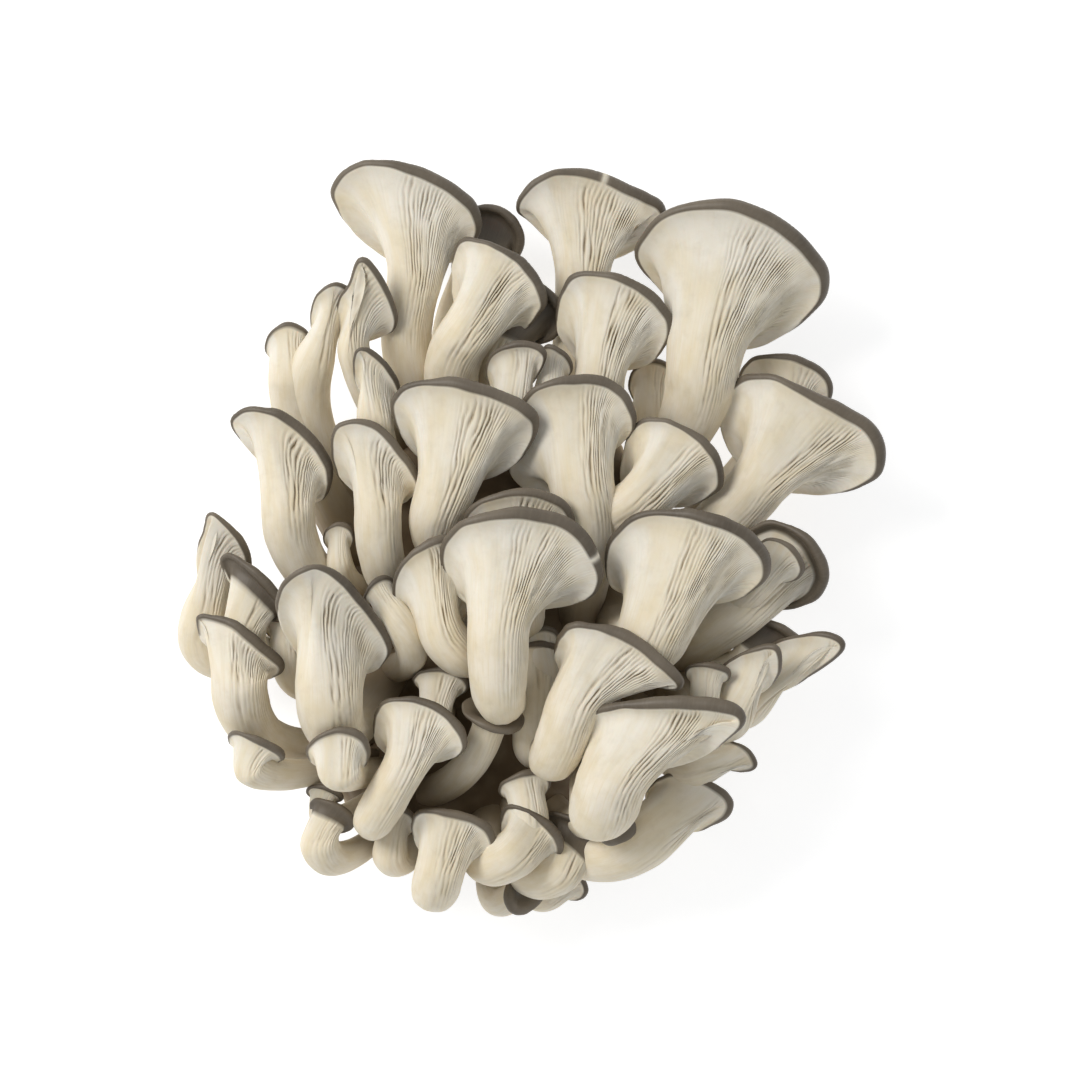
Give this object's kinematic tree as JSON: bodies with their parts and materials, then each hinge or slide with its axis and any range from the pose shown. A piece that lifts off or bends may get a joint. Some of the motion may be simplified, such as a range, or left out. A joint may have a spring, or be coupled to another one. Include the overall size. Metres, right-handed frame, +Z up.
{
  "type": "oyster mushroom cluster",
  "caption": "Cluster of grey oyster mushrooms with fan-shaped gilled caps on thick pale stems that grow from one base, lying on its cut face.",
  "frame": {"origin": "under the middle of the cluster, level with the cut face it lies on", "axes": "+Z up, the way the gills face; +Y the way the caps grew; +X to the right of the caps as seen from above"},
  "size_m": [0.211, 0.2284, 0.0808],
  "materials": {
    "mushroom_flesh": "matte, soft and finely ribbed: cream gills and stems, grey-brown cap skin",
    "base_flesh": "matte and fibrous, cream with brownish folds"
  },
  "bodies": {
    "root": {"stem_base": "base_flesh", "mushroom_top_right": "mushroom_flesh", "mushroom_top_left": "mushroom_flesh", "mushroom_top_middle": "mushroom_flesh", "mushroom_far_right": "mushroom_flesh", "mushroom_upper_left": "mushroom_flesh", "mushroom_upper_middle": "mushroom_flesh", "mushroom_left": "mushroom_flesh", "mushroom_centre": "mushroom_flesh", "mushroom_centre_right": "mushroom_flesh", "mushroom_lower_right": "mushroom_flesh", "mushroom_low_right": "mushroom_flesh", "mushroom_top_left_front": "mushroom_flesh", "mushroom_top_middle_front": "mushroom_flesh", "mushroom_top_left_behind": "mushroom_flesh", "mushroom_top_left_hooded": "mushroom_flesh", "mushroom_upper_right": "mushroom_flesh", "mushroom_far_upper_left": "mushroom_flesh", "mushroom_upper_left_outer": "mushroom_flesh", "mushroom_far_left_pointed": "mushroom_flesh", "mushroom_far_left_bowed": "mushroom_flesh", "mushroom_lower_left": "mushroom_flesh", "mushroom_centre_left": "mushroom_flesh", "mushroom_centre_behind": "mushroom_flesh", "mushroom_far_right_curled": "mushroom_flesh", "mushroom_bottom_right": "mushroom_flesh", "mushroom_bottom_middle": "mushroom_flesh", "mushroom_bottom_middle_right": "mushroom_flesh", "mushroom_far_right_behind": "mushroom_flesh", "mushroom_top_middle_behind": "mushroom_flesh", "mushroom_high_left_upper": "mushroom_flesh", "mushroom_high_left_outer": "mushroom_flesh", "mushroom_high_left_pointed": "mushroom_flesh", "mushroom_high_left_inner": "mushroom_flesh", "mushroom_nook_left": "mushroom_flesh", "mushroom_nook_right": "mushroom_flesh", "mushroom_upper_left_tucked": "mushroom_flesh", "mushroom_far_left_folded": "mushroom_flesh", "mushroom_far_left_inner": "mushroom_flesh", "mushroom_far_left_low": "mushroom_flesh", "mushroom_lower_left_outer": "mushroom_flesh", "mushroom_bottom_left": "mushroom_flesh", "mushroom_bottom_left_hooded": "mushroom_flesh", "mushroom_bottom_left_inner": "mushroom_flesh", "mushroom_lower_left_behind": "mushroom_flesh", "mushroom_centre_left_curled": "mushroom_flesh", "mushroom_far_right_nested": "mushroom_flesh", "mushroom_lower_right_outer": "mushroom_flesh", "mushroom_lower_right_hooded": "mushroom_flesh", "mushroom_lower_right_tip": "mushroom_flesh", "mushroom_lower_right_behind": "mushroom_flesh", "mushroom_low_right_tip": "mushroom_flesh", "mushroom_bottom_middle_behind": "mushroom_flesh", "mushroom_bottom_right_behind": "mushroom_flesh", "mushroom_bottom_right_button": "mushroom_flesh", "mushroom_bottom_button": "mushroom_flesh", "mushroom_bottom_small": "mushroom_flesh", "mushroom_centre_low_turned": "mushroom_flesh", "mushroom_centre_under": "mushroom_flesh", "mushroom_lower_middle_under": "mushroom_flesh"}
  },
  "joints": []
}
